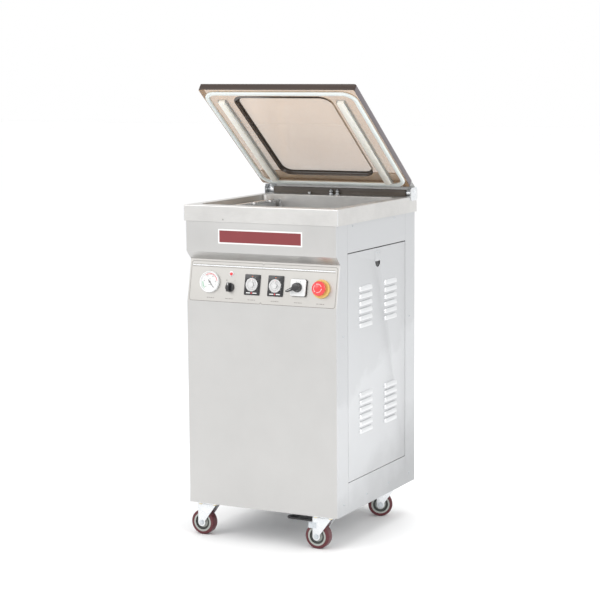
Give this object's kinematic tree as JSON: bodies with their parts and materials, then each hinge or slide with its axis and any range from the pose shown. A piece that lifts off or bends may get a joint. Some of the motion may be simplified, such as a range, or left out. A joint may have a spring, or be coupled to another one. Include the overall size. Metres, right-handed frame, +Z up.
{
  "type": "vacuum chamber sealer",
  "caption": "Floor-standing vacuum chamber sealer with a steel cabinet on casters, a hinged tinted lid, seal bars in the chamber and a sloped control panel.",
  "frame": {"origin": "on the floor at the centre of the machine's footprint, with the lid open", "axes": "+Z up, +Y towards the hinge at the back, +X to the operator's right when facing the control panel"},
  "size_m": [0.5085, 0.5885, 1.3362],
  "materials": {
    "panel_steel": "brushed stainless",
    "rim_steel": "brushed stainless",
    "plated_steel": "zinc plated",
    "dark_steel": "dark bronze",
    "lid_acrylic": "tinted, clear",
    "silicone": "matt",
    "white_plastic": "satin",
    "black_plastic": "matt",
    "dial_silver": "satin",
    "red_plastic": "glossy",
    "yellow_plastic": "glossy",
    "burgundy": "printed",
    "aluminium": "anodised",
    "ptfe_tape": "woven",
    "cast_iron": "painted",
    "hose_rubber": "matt",
    "brass": "turned",
    "wheel_maroon": "satin"
  },
  "bodies": {
    "cabinet": {"base_frame": "panel_steel", "front_panel": "panel_steel", "control_panel": "panel_steel", "head_panel": "panel_steel", "side_panel_left": "panel_steel", "side_panel_right": "panel_steel", "rear_cover": "panel_steel", "nameplate": "burgundy", "panel_screws": "plated_steel", "rear_fittings": "black_plastic", "chamber": "rim_steel", "lift_cylinders": "aluminium", "gas_nozzle_pipe": "plated_steel", "chamber_posts": "white_plastic", "hinge_beam": "dark_steel", "hinge_shaft": "plated_steel", "hinge_end_plates": "plated_steel", "torsion_springs": "plated_steel", "hinge_adjusters": "plated_steel", "gauge_case": "plated_steel", "power_lamp": "red_plastic", "timer_bodies": "black_plastic", "cam_switch_body": "white_plastic", "stop_collar": "yellow_plastic", "vacuum_pump": "cast_iron", "pump_motor": "cast_iron", "vacuum_hose": "hose_rubber", "valve_block": "brass", "transformer": "dark_steel", "electrical_panel": "plated_steel", "caster_plates": "plated_steel"},
    "lid": {"lid_plate": "lid_acrylic", "lid_gasket": "silicone", "strip_channels": "aluminium", "pressure_strips": "silicone", "lid_rail": "dark_steel", "lid_bushes": "plated_steel"},
    "door": {"service_door": "panel_steel", "latch_plate": "panel_steel"},
    "latch": {"latch_tongue": "plated_steel"},
    "lid_switch": {"lid_switch_plunger": "white_plastic"},
    "left_bar": {"seal_bar_left": "aluminium", "heating_strip_left": "ptfe_tape"},
    "right_bar": {"seal_bar_right": "aluminium", "heating_strip_right": "ptfe_tape"},
    "needle": {"gauge_needle": "black_plastic"},
    "power_switch": {"power_knob": "black_plastic"},
    "vacuum_timer": {"vacuum_timer_dial": "dial_silver"},
    "sealing_timer": {"sealing_timer_dial": "dial_silver"},
    "cam_switch": {"cam_switch_knob": "black_plastic"},
    "stop": {"stop_button": "red_plastic"},
    "pedal": {"brake_pedal": "black_plastic"},
    "fork_front_left": {"caster_fork_front_left": "plated_steel"},
    "wheel_front_left": {"caster_wheel_front_left": "wheel_maroon"},
    "fork_front_right": {"caster_fork_front_right": "plated_steel"},
    "wheel_front_right": {"caster_wheel_front_right": "wheel_maroon"},
    "fork_rear_left": {"caster_fork_rear_left": "plated_steel"},
    "wheel_rear_left": {"caster_wheel_rear_left": "wheel_maroon"},
    "fork_rear_right": {"caster_fork_rear_right": "plated_steel"},
    "wheel_rear_right": {"caster_wheel_rear_right": "wheel_maroon"}
  },
  "joints": [
    {"name": "lid_hinge", "type": "hinge", "parent": "cabinet", "child": "lid", "pos_m": [0, 0.255, 1], "axis": [1, 0, 0], "range_deg": [0, 37], "stiffness_Nm_per_rad": 10, "springref_deg": -108.86},
    {"name": "door_tilt", "type": "hinge", "parent": "cabinet", "child": "door", "pos_m": [0.2375, 0, 0.2015], "axis": [0, 1, 0], "range_deg": [0, 60]},
    {"name": "door_latch", "type": "slide", "parent": "door", "child": "latch", "axis": [0, 0, 1], "range_m": [0, 0.01]},
    {"name": "lid_switch_press", "type": "slide", "parent": "cabinet", "child": "lid_switch", "axis": [0, 0, -1], "range_m": [0, 0.003], "stiffness_N_per_m": 300, "springref_m": -0.001},
    {"name": "left_bar_lift", "type": "slide", "parent": "cabinet", "child": "left_bar", "axis": [0, 0, 1], "range_m": [0, 0.0065]},
    {"name": "right_bar_lift", "type": "slide", "parent": "cabinet", "child": "right_bar", "axis": [0, 0, 1], "range_m": [0, 0.0065]},
    {"name": "gauge_needle_turn", "type": "hinge", "parent": "cabinet", "child": "needle", "pos_m": [-0.1714, -0.26316, 0.76436], "axis": [0, -0.98, 0.1989], "range_deg": [0, 260]},
    {"name": "power_knob_turn", "type": "hinge", "parent": "cabinet", "child": "power_switch", "pos_m": [-0.10471, -0.26575, 0.75162], "axis": [0, -0.98, 0.1989], "range_deg": [0, 60]},
    {"name": "vacuum_timer_turn", "type": "hinge", "parent": "cabinet", "child": "vacuum_timer", "pos_m": [-0.03099, -0.26356, 0.7624], "axis": [0, -0.98, 0.1989], "range_deg": [-300, 0]},
    {"name": "sealing_timer_turn", "type": "hinge", "parent": "cabinet", "child": "sealing_timer", "pos_m": [0.04501, -0.26356, 0.7624], "axis": [0, -0.98, 0.1989], "range_deg": [-300, 0]},
    {"name": "cam_switch_turn", "type": "hinge", "parent": "cabinet", "child": "cam_switch", "pos_m": [0.11999, -0.26376, 0.76142], "axis": [0, -0.98, 0.1989], "range_deg": [-90, 0]},
    {"name": "stop_press", "type": "slide", "parent": "cabinet", "child": "stop", "axis": [0, 0.98, -0.1989], "range_m": [0, 0.005], "stiffness_N_per_m": 800, "springref_m": -0.002},
    {"name": "swivel_front_left", "type": "hinge", "parent": "cabinet", "child": "fork_front_left", "pos_m": [-0.191, -0.237, 0.096], "axis": [0, 0, 1], "continuous": true},
    {"name": "roll_front_left", "type": "hinge", "parent": "fork_front_left", "child": "wheel_front_left", "pos_m": [-0.217, -0.237, 0.0375], "axis": [0, -1, 0], "continuous": true},
    {"name": "swivel_front_right", "type": "hinge", "parent": "cabinet", "child": "fork_front_right", "pos_m": [0.191, -0.237, 0.096], "axis": [0, 0, 1], "continuous": true},
    {"name": "roll_front_right", "type": "hinge", "parent": "fork_front_right", "child": "wheel_front_right", "pos_m": [0.165, -0.237, 0.0375], "axis": [0, -1, 0], "continuous": true},
    {"name": "swivel_rear_left", "type": "hinge", "parent": "cabinet", "child": "fork_rear_left", "pos_m": [-0.191, 0.196, 0.096], "axis": [0, 0, 1], "continuous": true},
    {"name": "roll_rear_left", "type": "hinge", "parent": "fork_rear_left", "child": "wheel_rear_left", "pos_m": [-0.21543, 0.20489, 0.0375], "axis": [-0.342, -0.9397, 0], "continuous": true},
    {"name": "swivel_rear_right", "type": "hinge", "parent": "cabinet", "child": "fork_rear_right", "pos_m": [0.191, 0.196, 0.096], "axis": [0, 0, 1], "continuous": true},
    {"name": "roll_rear_right", "type": "hinge", "parent": "fork_rear_right", "child": "wheel_rear_right", "pos_m": [0.16783, 0.1842, 0.0375], "axis": [0.454, -0.891, 0], "continuous": true},
    {"name": "brake_press", "type": "hinge", "parent": "fork_front_right", "child": "pedal", "pos_m": [0.175, -0.237, 0.0835], "axis": [0, -1, 0], "range_deg": [0, 9]}
  ],
  "couplings": [
    {"joint": "right_bar_lift", "follows": "left_bar_lift", "ratio": 1}
  ]
}
